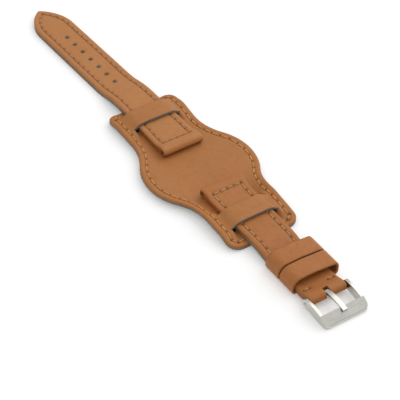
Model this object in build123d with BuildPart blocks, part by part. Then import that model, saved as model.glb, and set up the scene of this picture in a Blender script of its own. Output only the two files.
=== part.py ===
from build123d import *
import os
from math import atan2, degrees, sqrt

# Bund watch strap: a leather pad that lies between the watch and the wrist, and a two-piece strap
# that passes under a bridge at each end of the pad. X runs along the strap, from the holed tail
# to the buckle. Y runs across it, and Z up from the surface that it lies on. The origin is the
# middle of the pad's underside. All sizes are in millimetres.

# Leather, thread and clearances
skin = 0.95
filling = 0.7
thread_width = 0.7
thread_proud = 0.15
thread_bed = 0.25
stitch_pitch = 3.9
stitch_share = 0.7
sliding_gap = 0.2
seam_gap = 0.2
overrun = 5.0

# Pad
pad_length = 98.4
pad_top_thickness = 1.2
pad_lining_thickness = 0.9
disc_diameter = 51.4
ear_width = 34.2
ear_corner_radius = 4.9
waist_radius = 25.0
pad_stitch_inset = 3.0

# Bridges, the raised bands of the pad's top leather
bridge_width = 9.8
bridge_span = 25.4
bridge_thickness = 1.0
bridge_lean = 2.1
bridge_crown = 0.25
bridge_shoulder_radius = 1.9
bridge_clearance = 0.3
tail_bridge_setback = 5.7
buckle_bridge_setback = 8.8

# Strap, both pieces
lug_width = 20.0
strap_width = 18.2
strap_stitch_inset = 2.9
lug_channel_radius = 1.05
lug_fall = 8.0
lug_flap = 17.0
box_stitch_setback = 6.0
slide_in = 3.0

# Tail piece
tail_lug_end = 12.6
tail_length = 120.8
tail_end_width = 17.6
tail_fall = 15.0
tail_tip_length = 18.0
tail_tip_radius = 1.0
hole_diameter = 2.1
hole_pitch = 6.6
hole_count = 7
last_hole_setback = 25.1

# Buckle piece
buckle_lug_end = 14.2
buckle_end_width = 18.0
bar_setback = 75.4
buckle_fall = 9.8
bar_fall = 6.6
bar_flap = 22.0
bar_running_gap = 0.06
side_rows_end = 46.6
tongue_slot_width = 2.5
tongue_slot_setback = 2.2
tack_setback = 5.5
tack_length = 2.6
tack_spacing = 11.8

# Keepers
keeper_thickness = 1.0
keeper_width = 9.0
keeper_inner_width = 19.0
keeper_inner_height = 5.7
keeper_top_radius = 3.2
keeper_bottom_radius = 1.6
keeper_spacing = 0.6
keeper_setback = 8.6

# Spring bar
bar_radius = 0.9
bar_wall = 0.25
bar_end_gap = 0.15
bar_neck_length = 0.6
pivot_tip_radius = 0.4
pivot_tip_reach = 0.9
pivot_head_length = 3.0
pivot_running_gap = 0.05
spring_wire_radius = 0.13
spring_wire_sides = 12
spring_wall_gap = 0.08
spring_turns = 12

# Buckle
frame_side_gap = 0.3
frame_arm_thickness = 1.3
frame_eye_radius = 1.8
frame_hole_gap = 0.05
frame_reach = 14.1
frame_rise = 0.55
frame_corner_radius = 2.2
front_bar_depth = 4.4
front_bar_inner_height = 4.2
front_bar_outer_height = 1.7
front_bar_edge_radius = 0.5
tongue_width = 2.1
tongue_thickness = 1.05
tongue_eye_wall = 0.6
tongue_arch = 0.75
tongue_tip_reach = 2.2
notch_depth = 1.0
notch_gap = 0.25
rest_gap = 0.05

# Places and sizes that follow from those above
pad_height = pad_lining_thickness + pad_top_thickness
pad_end = pad_length / 2
disc_radius = disc_diameter / 2
ear_half = ear_width / 2
filler_top = skin + filling
strap_thickness = filler_top + skin
strap_floor = pad_height + sliding_gap
slope_start = pad_end + slide_in + seam_gap
tail_channel_x = -(tail_lug_end + skin + lug_channel_radius)
buckle_channel_x = buckle_lug_end + skin + lug_channel_radius
tail_tip = tail_lug_end + tail_length
keeper_floor = keeper_thickness + seam_gap / 2
bar_bore = bar_radius + bar_running_gap
bar_x = buckle_lug_end + bar_setback
bar_z = keeper_floor + skin + bar_bore
cut_height = strap_floor + 2 * (skin + lug_channel_radius) + overrun
cut_half = lug_width / 2 + overrun


def step_down(start, out, drop, run, rise):
    """Two equal arcs down towards out, +1 or -1, raised by rise from the line that they follow."""
    radius = (run**2 + drop**2) / (4 * drop)
    turn = -out * degrees(2 * atan2(drop, run))
    over = JernArc(start, tangent=(out, 0), radius=radius + rise, arc_size=turn)
    under = JernArc(over @ 1, tangent=over % 1, radius=radius - rise, arc_size=-turn)
    return under @ 1


def strap_run(out, start_x, end_x, floor, fall, rise):
    """Line along a strap piece at rise above its underside: level, down to its floor, and level."""
    crest = (out * slope_start, strap_floor + rise)
    Line((start_x, strap_floor + rise), crest)
    foot = step_down(crest, out, strap_floor - floor, fall, rise)
    Line(foot, (end_x, floor + rise))


def fold_line(out, centre_x, floor, bore, flap, rise):
    """Line at rise from the facing's inner face: along the flap and round a channel's far side."""
    low = (centre_x, floor + skin - rise)
    middle = (centre_x - out * (bore + rise), floor + skin + bore)
    Line((centre_x + out * flap, floor + skin - rise), low)
    ThreePointArc(low, middle, (centre_x, floor + skin + 2 * bore + rise))


def crown_line(out, centre_x, floor, bore, fall, rise):
    """Line at rise from the facing's inner face, from above a channel down to the plain strap."""
    drop = 2 * (skin + bore) - strap_thickness
    step_down((centre_x, floor + skin + 2 * bore + rise), out, drop, fall, rise)


def upright(x, low, high):
    """Line that closes a layer's profile at x."""
    Line((x, low), (x, high))


def stitches(wire, first_x, last_x):
    """Stitches along a wire between two places in X, a whole number of them on each of its edges."""
    for edge in wire.edges():
        count = round(edge.length / stitch_pitch)
        for index in range(count):
            place = edge @ ((index + 0.5) / count)
            along = edge % ((index + 0.5) / count)
            if first_x < place.X < last_x:
                with Locations(Location((place.X, place.Y), degrees(atan2(along.Y, along.X)))):
                    SlotOverall(stitch_share * edge.length / count, thread_width)


# Pad outline: a disc with an ear at each end, joined by hollow waist arcs
waist_x = sqrt((disc_radius + waist_radius) ** 2 - (ear_half + waist_radius) ** 2)
disc_share = disc_radius / (disc_radius + waist_radius)
with BuildSketch() as pad_outline:
    with BuildLine():
        end = Line((pad_end, 0), (pad_end, ear_half - ear_corner_radius))
        corner = TangentArc(end @ 1, (pad_end - ear_corner_radius, ear_half), tangent=(0, 1))
        Line(corner @ 1, (waist_x, ear_half))
        disc_touch = (waist_x * disc_share, (ear_half + waist_radius) * disc_share)
        waist = TangentArc((waist_x, ear_half), disc_touch, tangent=(-1, 0))
        TangentArc(waist @ 1, (0, disc_radius), tangent=waist % 1)
        mirror(about=Plane.YZ)
        mirror(about=Plane.XZ)
    make_face()

with BuildSketch() as pad_stitch_line:
    add(pad_outline.sketch)
    offset(amount=-pad_stitch_inset)

with BuildSketch() as pad_stitches:
    stitches(pad_stitch_line.face().outer_wire(), -pad_end, pad_end)

with BuildPart() as pad_thread:
    with BuildSketch():
        Rectangle(pad_length, disc_diameter)
    extrude(amount=thread_bed)
    with BuildSketch(Plane.XY.offset(pad_height - thread_bed)):
        Rectangle(pad_length, disc_diameter)
    extrude(amount=thread_bed + thread_proud)
    extrude(pad_stitches.sketch, amount=cut_height, mode=Mode.INTERSECT)
pad_thread.part.label = "pad_thread"

with BuildPart() as pad_lining:
    extrude(pad_outline.sketch, amount=pad_lining_thickness)
    add(pad_thread.part, mode=Mode.SUBTRACT)
pad_lining.part.label = "pad_lining"

# Bridges: each is cut free by two slits and stands over its strap piece
bridge_half = bridge_span / 2
bridge_top = strap_floor + strap_thickness + bridge_clearance + bridge_thickness
bridge_shoulder = (bridge_half - bridge_lean, bridge_top - bridge_crown)
tail_bridge_x = -pad_end + tail_bridge_setback + bridge_width / 2
buckle_bridge_x = pad_end - buckle_bridge_setback - bridge_width / 2

with BuildSketch(Plane.YZ) as bridge_band:
    with BuildLine():
        leg_foot = (bridge_half, pad_lining_thickness - bridge_thickness)
        leg = Polyline((0, leg_foot[1]), leg_foot, (bridge_half, pad_height), bridge_shoulder)
        ThreePointArc(leg @ 1, (0, bridge_top), (-bridge_shoulder[0], bridge_shoulder[1]))
        mirror(leg, about=Plane.YZ)
    make_face()
    fillet(bridge_band.vertices().group_by(Axis.Y)[-1], radius=bridge_shoulder_radius)
    offset(amount=-bridge_thickness, mode=Mode.SUBTRACT)

with BuildPart() as pad_top:
    extrude(pad_outline.sketch, amount=pad_height)
    with BuildSketch():
        with Locations((tail_bridge_x, 0), (buckle_bridge_x, 0)):
            Rectangle(bridge_width, bridge_span - bridge_thickness)
    extrude(amount=pad_height, mode=Mode.SUBTRACT)
    for bridge_x in (tail_bridge_x, buckle_bridge_x):
        with BuildSketch(Plane.YZ.offset(bridge_x)):
            add(bridge_band.sketch_local)
        extrude(amount=bridge_width / 2, both=True)
    with BuildSketch(Plane.XY.offset(pad_lining_thickness)):
        Rectangle(pad_length, disc_diameter)
    extrude(amount=-overrun, mode=Mode.SUBTRACT)
    add(pad_thread.part, mode=Mode.SUBTRACT)
pad_top.part.label = "pad_top"

# Tail outline: a taper from the lugs to a rounded point
tail_half = tail_end_width / 2
tip_x = tail_tip_length - tail_tip_radius
tip_start = -(tail_tip - tail_tip_length)
side_radius = (tip_x**2 + tail_half**2 - tail_tip_radius**2) / (2 * (tail_half - tail_tip_radius))
tip_share = side_radius / (side_radius - tail_tip_radius)
tip_touch = (tip_start - tip_x * tip_share, (tail_half - side_radius) * (1 - tip_share))
with BuildSketch() as tail_outline:
    with BuildLine():
        tail_side = Polyline(
            (-tail_lug_end, 0),
            (-tail_lug_end, lug_width / 2),
            (-pad_end, strap_width / 2),
            (tip_start, tail_half),
        )
        tail_shoulder = TangentArc(tail_side @ 1, tip_touch, tangent=(-1, 0))
        TangentArc(tail_shoulder @ 1, (-tail_tip, 0), tangent=tail_shoulder % 1)
        mirror(about=Plane.XZ)
    make_face()

box_row_x = tail_lug_end + box_stitch_setback
with BuildSketch() as tail_stitch_line:
    add(tail_outline.sketch)
    with Locations((strap_stitch_inset - box_row_x, 0)):
        Rectangle(pad_length, 2 * cut_half, align=(Align.MIN, Align.CENTER), mode=Mode.SUBTRACT)
    offset(amount=-strap_stitch_inset)

with BuildSketch() as tail_stitches:
    stitches(tail_stitch_line.face().outer_wire(), -tail_tip, 0)

tail_run_start = tail_channel_x - lug_fall
tail_run_end = -(tail_tip + overrun)

with BuildPart() as tail_thread:
    with BuildSketch(Plane.XZ):
        with BuildLine():
            for rise in (skin - thread_bed, skin + thread_proud):
                crown_line(-1, tail_channel_x, strap_floor, lug_channel_radius, lug_fall, rise)
                strap_run(-1, tail_run_start, tail_run_end, 0, tail_fall, filler_top + rise)
            channel_top = strap_floor + 2 * (skin + lug_channel_radius)
            upright(tail_channel_x, channel_top - thread_bed, channel_top + thread_proud)
            upright(tail_run_end, strap_thickness - thread_bed, strap_thickness + thread_proud)
        make_face()
        with BuildLine():
            for rise in (0, thread_bed):
                strap_run(-1, tail_channel_x, tail_run_end, 0, tail_fall, rise)
            upright(tail_channel_x, strap_floor, strap_floor + thread_bed)
            upright(tail_run_end, 0, thread_bed)
        make_face()
    extrude(amount=cut_half, both=True)
    extrude(tail_stitches.sketch, amount=cut_height, mode=Mode.INTERSECT)
tail_thread.part.label = "tail_thread"

with BuildSketch() as tail_holes:
    with Locations((-tail_tip + last_hole_setback, 0)):
        with GridLocations(hole_pitch, 0, hole_count, 1, align=(Align.MIN, Align.CENTER)):
            Circle(hole_diameter / 2)

with BuildPart() as tail_top:
    with BuildSketch(Plane.XZ):
        with BuildLine():
            for rise in (0, skin):
                fold_line(-1, tail_channel_x, strap_floor, lug_channel_radius, lug_flap, rise)
                crown_line(-1, tail_channel_x, strap_floor, lug_channel_radius, lug_fall, rise)
                strap_run(-1, tail_run_start, tail_run_end, 0, tail_fall, filler_top + rise)
            upright(tail_channel_x - lug_flap, strap_floor, strap_floor + skin)
            upright(tail_run_end, filler_top, strap_thickness)
        make_face()
    extrude(amount=cut_half, both=True)
    extrude(tail_outline.sketch, amount=cut_height, mode=Mode.INTERSECT)
    extrude(tail_holes.sketch, amount=cut_height, mode=Mode.SUBTRACT)
    add(tail_thread.part, mode=Mode.SUBTRACT)
tail_top.part.label = "tail_top"

with BuildPart() as tail_filler:
    with BuildSketch(Plane.XZ):
        with BuildLine():
            crown_line(-1, tail_channel_x, strap_floor, lug_channel_radius, lug_fall, 0)
            strap_run(-1, tail_run_start, tail_run_end, 0, tail_fall, filler_top)
            strap_run(-1, tail_channel_x, tail_run_end, 0, tail_fall, skin)
            channel_low = strap_floor + skin
            upright(tail_channel_x, channel_low, channel_low + 2 * lug_channel_radius)
            upright(tail_run_end, skin, filler_top)
        make_face()
        with Locations((tail_channel_x, channel_low + lug_channel_radius)):
            Circle(lug_channel_radius, mode=Mode.SUBTRACT)
            Rectangle(lug_channel_radius, 2 * lug_channel_radius, mode=Mode.SUBTRACT)
    extrude(amount=cut_half, both=True)
    extrude(tail_outline.sketch, amount=cut_height, mode=Mode.INTERSECT)
    extrude(tail_holes.sketch, amount=cut_height, mode=Mode.SUBTRACT)
tail_filler.part.label = "tail_filler"

with BuildPart() as tail_lining:
    with BuildSketch(Plane.XZ):
        with BuildLine():
            lining_start = tail_channel_x - lug_flap - seam_gap
            for rise in (0, skin):
                strap_run(-1, lining_start, tail_run_end, 0, tail_fall, rise)
            upright(lining_start, strap_floor, strap_floor + skin)
            upright(tail_run_end, 0, skin)
        make_face()
    extrude(amount=cut_half, both=True)
    extrude(tail_outline.sketch, amount=cut_height, mode=Mode.INTERSECT)
    extrude(tail_holes.sketch, amount=cut_height, mode=Mode.SUBTRACT)
    add(tail_thread.part, mode=Mode.SUBTRACT)
tail_lining.part.label = "tail_lining"

# Buckle piece outline, with the slot that the tongue swings in
bar_fold_x = bar_x + bar_bore + skin
with BuildSketch() as buckle_outline:
    with BuildLine():
        Polyline(
            (buckle_lug_end, 0),
            (buckle_lug_end, lug_width / 2),
            (pad_end, strap_width / 2),
            (bar_fold_x, buckle_end_width / 2),
            (bar_fold_x, 0),
        )
        mirror(about=Plane.XZ)
    make_face()

with BuildSketch() as tongue_slot:
    with Locations((bar_x - tongue_slot_setback, 0)):
        Rectangle(
            tongue_slot_setback + frame_reach,
            tongue_slot_width,
            align=(Align.MIN, Align.CENTER),
        )

with BuildSketch() as buckle_stitch_line:
    add(buckle_outline.sketch)
    with Locations((buckle_lug_end + box_stitch_setback - strap_stitch_inset, 0)):
        Rectangle(pad_length, 2 * cut_half, align=(Align.MAX, Align.CENTER), mode=Mode.SUBTRACT)
    offset(amount=-strap_stitch_inset)

with BuildSketch() as buckle_stitches:
    stitches(buckle_stitch_line.face().outer_wire(), 0, buckle_lug_end + side_rows_end)

run_start = buckle_channel_x + lug_fall
run_end = bar_x - bar_fall
strap_top = keeper_floor + strap_thickness
channel_top = strap_floor + 2 * (skin + lug_channel_radius)
bar_top = bar_z + bar_bore + skin

with BuildPart() as buckle_thread:
    with BuildSketch(Plane.XZ):
        with BuildLine():
            for rise in (skin - thread_bed, skin + thread_proud):
                crown_line(1, buckle_channel_x, strap_floor, lug_channel_radius, lug_fall, rise)
                strap_run(1, run_start, run_end, keeper_floor, buckle_fall, filler_top + rise)
            upright(buckle_channel_x, channel_top - thread_bed, channel_top + thread_proud)
            upright(run_end, strap_top - thread_bed, strap_top + thread_proud)
        make_face()
        with BuildLine():
            for rise in (0, thread_bed):
                strap_run(1, buckle_channel_x, run_end, keeper_floor, buckle_fall, rise)
            upright(buckle_channel_x, strap_floor, strap_floor + thread_bed)
            upright(run_end, keeper_floor, keeper_floor + thread_bed)
        make_face()
    extrude(amount=cut_half, both=True)
    extrude(buckle_stitches.sketch, amount=cut_height, mode=Mode.INTERSECT)
buckle_thread.part.label = "buckle_thread"

# Tack stitches across the strap beside the fold, one each side of the slot
with BuildPart() as tack_thread:
    with BuildSketch(Plane.XZ):
        with BuildLine():
            for rise in (skin - thread_bed, skin + thread_proud):
                crown_line(-1, bar_x, keeper_floor, bar_bore, bar_fall, rise)
            upright(bar_x, bar_top - thread_bed, bar_top + thread_proud)
            upright(run_end, strap_top - thread_bed, strap_top + thread_proud)
        make_face()
        with Locations((bar_x, keeper_floor)):
            Rectangle(bar_fall, thread_bed, align=(Align.MAX, Align.MIN))
    extrude(amount=cut_half, both=True)
    with BuildSketch():
        with Locations((bar_x - tack_setback, 0)):
            with GridLocations(0, tack_spacing, 1, 2):
                SlotOverall(tack_length, thread_width, rotation=90)
    extrude(amount=cut_height, mode=Mode.INTERSECT)
tack_thread.part.label = "tack_thread"

with BuildPart() as buckle_top:
    with BuildSketch(Plane.XZ):
        with BuildLine():
            for rise in (0, skin):
                fold_line(1, buckle_channel_x, strap_floor, lug_channel_radius, lug_flap, rise)
                crown_line(1, buckle_channel_x, strap_floor, lug_channel_radius, lug_fall, rise)
                strap_run(1, run_start, run_end, keeper_floor, buckle_fall, filler_top + rise)
                crown_line(-1, bar_x, keeper_floor, bar_bore, bar_fall, rise)
                fold_line(-1, bar_x, keeper_floor, bar_bore, bar_flap, rise)
            upright(buckle_channel_x + lug_flap, strap_floor, strap_floor + skin)
            upright(bar_x - bar_flap, keeper_floor, keeper_floor + skin)
        make_face()
    extrude(amount=cut_half, both=True)
    extrude(buckle_outline.sketch, amount=cut_height, mode=Mode.INTERSECT)
    extrude(tongue_slot.sketch, amount=cut_height, mode=Mode.SUBTRACT)
    add(buckle_thread.part, mode=Mode.SUBTRACT)
    add(tack_thread.part, mode=Mode.SUBTRACT)
buckle_top.part.label = "buckle_top"

with BuildPart() as buckle_filler:
    with BuildSketch(Plane.XZ):
        with BuildLine():
            crown_line(1, buckle_channel_x, strap_floor, lug_channel_radius, lug_fall, 0)
            strap_run(1, run_start, run_end, keeper_floor, buckle_fall, filler_top)
            crown_line(-1, bar_x, keeper_floor, bar_bore, bar_fall, 0)
            strap_run(1, buckle_channel_x, bar_x, keeper_floor, buckle_fall, skin)
            upright(buckle_channel_x, channel_low, channel_low + 2 * lug_channel_radius)
            upright(bar_x, bar_z - bar_bore, bar_z + bar_bore)
        make_face()
        with Locations((buckle_channel_x, channel_low + lug_channel_radius)):
            Circle(lug_channel_radius, mode=Mode.SUBTRACT)
            Rectangle(lug_channel_radius, 2 * lug_channel_radius, mode=Mode.SUBTRACT)
        with Locations((bar_x, bar_z)):
            Circle(bar_bore, mode=Mode.SUBTRACT)
            Rectangle(bar_bore, 2 * bar_bore, mode=Mode.SUBTRACT)
    extrude(amount=cut_half, both=True)
    extrude(buckle_outline.sketch, amount=cut_height, mode=Mode.INTERSECT)
    extrude(tongue_slot.sketch, amount=cut_height, mode=Mode.SUBTRACT)
buckle_filler.part.label = "buckle_filler"

with BuildPart() as buckle_lining:
    with BuildSketch(Plane.XZ):
        with BuildLine():
            lining_start = buckle_channel_x + lug_flap + seam_gap
            lining_end = bar_x - bar_flap - seam_gap
            for rise in (0, skin):
                strap_run(1, lining_start, lining_end, keeper_floor, buckle_fall, rise)
            upright(lining_start, strap_floor, strap_floor + skin)
            upright(lining_end, keeper_floor, keeper_floor + skin)
        make_face()
    extrude(amount=cut_half, both=True)
    extrude(buckle_outline.sketch, amount=cut_height, mode=Mode.INTERSECT)
    add(buckle_thread.part, mode=Mode.SUBTRACT)
buckle_lining.part.label = "buckle_lining"

# Keepers: leather loops round the buckle piece, one fixed and one that slides
fixed_keeper_x = bar_x - keeper_setback - keeper_width / 2
sliding_keeper_x = fixed_keeper_x - keeper_width - keeper_spacing

with BuildSketch(Plane.YZ) as keeper_loop:
    keeper_height = keeper_inner_height + 2 * keeper_thickness
    with Locations((0, keeper_height / 2)):
        Rectangle(keeper_inner_width + 2 * keeper_thickness, keeper_height)
    fillet(keeper_loop.vertices().group_by(Axis.Y)[-1], radius=keeper_top_radius)
    fillet(keeper_loop.vertices().group_by(Axis.Y)[0], radius=keeper_bottom_radius)
    offset(amount=-keeper_thickness, mode=Mode.SUBTRACT)

with BuildPart() as fixed_keeper:
    with BuildSketch(Plane.YZ.offset(fixed_keeper_x)):
        add(keeper_loop.sketch_local)
    extrude(amount=keeper_width / 2, both=True)
fixed_keeper.part.label = "fixed_keeper"

with BuildPart() as sliding_keeper:
    with BuildSketch(Plane.YZ.offset(sliding_keeper_x)):
        add(keeper_loop.sketch_local)
    extrude(amount=keeper_width / 2, both=True)
sliding_keeper.part.label = "sliding_keeper"

# Spring bar: a tube with necked ends, two pivots and the spring between them
bar_plane = Plane(origin=(bar_x, 0, bar_z), x_dir=(1, 0, 0), z_dir=(0, -1, 0))
frame_inner_half = buckle_end_width / 2 + frame_side_gap
bar_half = frame_inner_half - bar_end_gap
bar_inner = bar_radius - bar_wall
neck_start = bar_half - bar_neck_length
head_start = neck_start - pivot_head_length

with BuildPart() as bar_tube:
    with BuildSketch(bar_plane):
        Circle(bar_radius)
    extrude(amount=bar_half, both=True)
    with BuildSketch(bar_plane):
        Circle(bar_inner)
    extrude(amount=neck_start, both=True, mode=Mode.SUBTRACT)
    with BuildSketch(bar_plane):
        Circle(pivot_tip_radius + pivot_running_gap)
    extrude(amount=bar_half, both=True, mode=Mode.SUBTRACT)
bar_tube.part.label = "bar_tube"

with BuildPart() as pivot:
    with BuildSketch(bar_plane.offset(head_start)):
        Circle(bar_inner - pivot_running_gap)
    extrude(amount=pivot_head_length)
    with BuildSketch(bar_plane.offset(head_start)):
        Circle(pivot_tip_radius)
    extrude(amount=bar_half + pivot_tip_reach - head_start)
    fillet(pivot.edges().sort_by(Axis.Y)[0], radius=pivot_running_gap)

with BuildPart() as bar_pivot_left:
    add(pivot.part)
bar_pivot_left.part.label = "bar_pivot_left"

with BuildPart() as bar_pivot_right:
    mirror(pivot.part, about=Plane.XZ)
bar_pivot_right.part.label = "bar_pivot_right"

with BuildPart() as bar_spring:
    coil_radius = bar_inner - spring_wall_gap - spring_wire_radius
    coil_length = 2 * (head_start - spring_wall_gap - spring_wire_radius)
    with BuildLine() as coil:
        Helix(
            pitch=coil_length / spring_turns,
            height=coil_length,
            radius=coil_radius,
            center=(bar_x, -coil_length / 2, bar_z),
            direction=(0, 1, 0),
        )
    with BuildSketch(Plane(origin=coil.line @ 0, z_dir=coil.line % 0)):
        RegularPolygon(spring_wire_radius, spring_wire_sides)
    sweep(path=coil.line, is_frenet=True)
bar_spring.part.label = "bar_spring"

# Buckle frame: two arms and a deep front bar, hung on the spring bar's pivots
frame_outer_half = frame_inner_half + frame_arm_thickness
frame_front = bar_x + frame_reach
front_bar_back = frame_front - front_bar_depth

with BuildSketch() as frame_plan:
    with Locations((bar_x - frame_eye_radius, 0)):
        Rectangle(
            frame_eye_radius + frame_reach,
            2 * frame_outer_half,
            align=(Align.MIN, Align.CENTER),
        )
    fillet(frame_plan.vertices().group_by(Axis.X)[-1], radius=frame_corner_radius)
    with Locations((front_bar_back, 0)):
        Rectangle(
            frame_eye_radius + frame_reach,
            2 * frame_inner_half,
            align=(Align.MAX, Align.CENTER),
            mode=Mode.SUBTRACT,
        )

with BuildPart() as buckle_frame:
    with BuildSketch(Plane.XZ) as frame_side:
        with BuildLine():
            eye = ThreePointArc(
                (bar_x, bar_z - frame_eye_radius),
                (bar_x - frame_eye_radius, bar_z),
                (bar_x, bar_z + frame_eye_radius),
            )
            arm_middle_z = (bar_z + frame_eye_radius + front_bar_inner_height) / 2 + frame_rise
            arm = ThreePointArc(
                eye @ 1,
                ((bar_x + front_bar_back) / 2, arm_middle_z),
                (front_bar_back, front_bar_inner_height),
            )
            Polyline(
                arm @ 1,
                (frame_front, front_bar_outer_height),
                (frame_front, 0),
                (front_bar_back, 0),
                eye @ 0,
            )
        make_face()
        fillet(frame_side.vertices().group_by(Axis.X)[-1], radius=front_bar_edge_radius)
    extrude(amount=frame_outer_half, both=True)
    extrude(frame_plan.sketch, amount=cut_height, mode=Mode.INTERSECT)
    with BuildSketch(bar_plane):
        Circle(pivot_tip_radius + frame_hole_gap)
    extrude(amount=frame_outer_half, both=True, mode=Mode.SUBTRACT)
    with BuildSketch(Plane.XY.offset(front_bar_inner_height - notch_depth)):
        with Locations((front_bar_back, 0)):
            Rectangle(
                2 * (tongue_tip_reach + notch_gap),
                tongue_width + 2 * notch_gap,
            )
    extrude(amount=cut_height, mode=Mode.SUBTRACT)
buckle_frame.part.label = "buckle_frame"

with BuildPart() as buckle_tongue:
    with BuildSketch(Plane.XZ):
        tongue_eye = bar_bore + tongue_eye_wall
        tip_low = front_bar_inner_height - notch_depth + rest_gap
        tip = (front_bar_back + tongue_tip_reach, tip_low)
        root = (bar_x, bar_z + tongue_eye - tongue_thickness)
        middle = ((root[0] + tip[0]) / 2, (root[1] + tip[1]) / 2 + tongue_arch)
        with BuildLine():
            low = ThreePointArc(root, middle, tip)
            high = ThreePointArc(
                (root[0], root[1] + tongue_thickness),
                (middle[0], middle[1] + tongue_thickness),
                (tip[0], tip[1] + tongue_thickness),
            )
            Line(low @ 0, high @ 0)
            Line(low @ 1, high @ 1)
        make_face()
        with Locations((bar_x, bar_z)):
            Circle(tongue_eye)
            Circle(bar_bore, mode=Mode.SUBTRACT)
    extrude(amount=tongue_width / 2, both=True)
buckle_tongue.part.label = "buckle_tongue"

os.makedirs("parts", exist_ok=True)
for piece in (
    pad_top,
    pad_lining,
    pad_thread,
    tail_top,
    tail_filler,
    tail_lining,
    tail_thread,
    buckle_top,
    buckle_filler,
    buckle_lining,
    buckle_thread,
    tack_thread,
    fixed_keeper,
    sliding_keeper,
    bar_tube,
    bar_pivot_left,
    bar_pivot_right,
    bar_spring,
    buckle_frame,
    buckle_tongue,
):
    export_step(piece.part, f"parts/{piece.part.label}.step")
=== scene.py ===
from math import acos, atan2, copysign, cos, hypot, pi, radians, sin, sqrt, tan

import bmesh
import bpy
import numpy as np
from mathutils import Matrix, Vector


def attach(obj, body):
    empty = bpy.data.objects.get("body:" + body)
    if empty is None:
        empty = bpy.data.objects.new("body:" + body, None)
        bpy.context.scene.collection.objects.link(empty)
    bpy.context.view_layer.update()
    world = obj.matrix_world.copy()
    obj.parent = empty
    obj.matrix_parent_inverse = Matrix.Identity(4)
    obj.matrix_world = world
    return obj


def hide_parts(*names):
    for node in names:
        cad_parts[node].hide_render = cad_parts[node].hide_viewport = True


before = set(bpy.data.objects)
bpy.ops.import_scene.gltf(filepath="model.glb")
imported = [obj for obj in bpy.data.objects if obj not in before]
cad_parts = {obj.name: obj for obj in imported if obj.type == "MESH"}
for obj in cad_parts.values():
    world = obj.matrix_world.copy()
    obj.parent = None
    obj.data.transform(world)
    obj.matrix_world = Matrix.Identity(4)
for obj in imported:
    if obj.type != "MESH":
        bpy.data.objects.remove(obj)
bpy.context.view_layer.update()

# The finish of a bund watch strap: leather layers, stitches, keepers and buckle. Lengths are in
# millimetres, in the frame's directions, and MM turns them into metres when a mesh is made.
MM = 0.001
tiny = 1e-6

# Leather and thread
skin = 0.95
filling = 0.7
thread_width = 0.56
thread_rings = 15
thread_sides = 12
thread_twist = 2.6
thread_overrun = 0.12
thread_dome = 0.24
thread_sink = 0.34
thread_sink_start = 0.72
thread_floor = 0.02
stitch_pitch = 3.9
stitch_share = 0.74
sliding_gap = 0.2
seam_gap = 0.2

# Pad and its bridges
pad_length = 98.4
pad_top_thickness = 1.2
pad_lining_thickness = 0.9
disc_radius = 25.7
ear_half = 17.1
ear_corner_radius = 4.9
waist_radius = 25.0
pad_stitch_inset = 3.0
bridge_width = 9.8
bridge_foot = 12.9
bridge_skin = 1.1
bridge_columns = 61
bridge_roll = 0.12
bridge_roll_reach = 0.5
arch_rise = 4.6
arch_half = 11.85
arch_power = 7.6
margin_start = 10.3
margin_width = 1.9
margin_fade = 5.5
curl_start = 33.0
ear_curl = 0.8
near_rim_rise = 1.6
near_rim_swell = 1.2
far_rim_rise = 0.3
far_rim_swell = 2.6
rim_swell_x = 28.0
rim_swell_reach = 12.0
tail_rim_swell = 1.3
tail_rim_x = -39.0
tail_rim_reach = 6.0
rim_fade_start = 38.0
rim_end_margin = 0.1
tail_bridge_setback = 5.7
buckle_bridge_setback = 8.8

# Both strap pieces
lug_half = 10.0
strap_half = 9.1
strap_stitch_inset = 2.9
lug_channel_radius = 1.05
lug_fall = 8.0
lug_flap = 17.0
box_stitch_setback = 6.0
slide_in = 3.0
filler_inset = 0.06

# Tail piece
tail_lug_end = 12.6
tail_length = 120.8
tail_half = 8.8
tail_fall = 19.0
sway_start = 62.0
sway_ease = 0.04
tail_sway = 2.5
lug_shift = 0.25
lug_shift_end = 62.0
lug_shift_run = 12.0
tail_tip_length = 16.0
tail_tip_radius = 1.0
tail_end_gap = 0.012
hole_radius = 0.97
hole_pitch = 6.6
hole_count = 7
hole_block = 1.8
last_hole_setback = 25.1

# Buckle piece
buckle_lug_end = 14.2
buckle_half = 9.0
bar_setback = 75.4
bar_bore = 0.96
buckle_fall = 9.8
bar_fall = 6.6
bar_flap = 22.0
side_rows_end = 46.6
slot_half = 1.25
slot_setback = 1.95
tack_setback = 5.5
tack_length = 2.6
tack_spacing = 11.8

# Keepers
keeper_thickness = 1.0
keeper_width = 9.0
keeper_half = 10.5
keeper_height = 7.7
keeper_left_radius = 4.4
keeper_right_radius = 2.7
keeper_bottom_radius = 2.0
keeper_crest_radius = 40.0
keeper_right_shift = 2.1
keeper_right_drop = 1.0
keeper_left_drop = 0.2
keeper_spacing = 0.6
keeper_setback = 8.6
keeper_swell = 0.06
keeper_sag = 0.12

# Places that follow
pad_height = pad_lining_thickness + pad_top_thickness
pad_end = pad_length / 2
waist_x = sqrt((disc_radius + waist_radius) ** 2 - (ear_half + waist_radius) ** 2)
filler_top = skin + filling
strap_thickness = filler_top + skin
strap_floor = pad_height + sliding_gap
slope_start = pad_end + slide_in + seam_gap
tail_channel = tail_lug_end + skin + lug_channel_radius
buckle_channel = buckle_lug_end + skin + lug_channel_radius
tail_tip = tail_lug_end + tail_length
tip_start = tail_tip - tail_tip_length
tip_reach = tail_tip_length - tail_tip_radius
point_x = tail_tip - tail_tip_radius
shoulder_radius = tip_reach**2 + tail_half**2 - tail_tip_radius**2
shoulder_radius /= 2 * (tail_half - tail_tip_radius)
shoulder_end = tip_start + tip_reach * shoulder_radius / (shoulder_radius - tail_tip_radius)
keeper_floor = keeper_thickness + seam_gap / 2
bar_x = buckle_lug_end + bar_setback
bar_z = keeper_floor + skin + bar_bore
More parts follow.
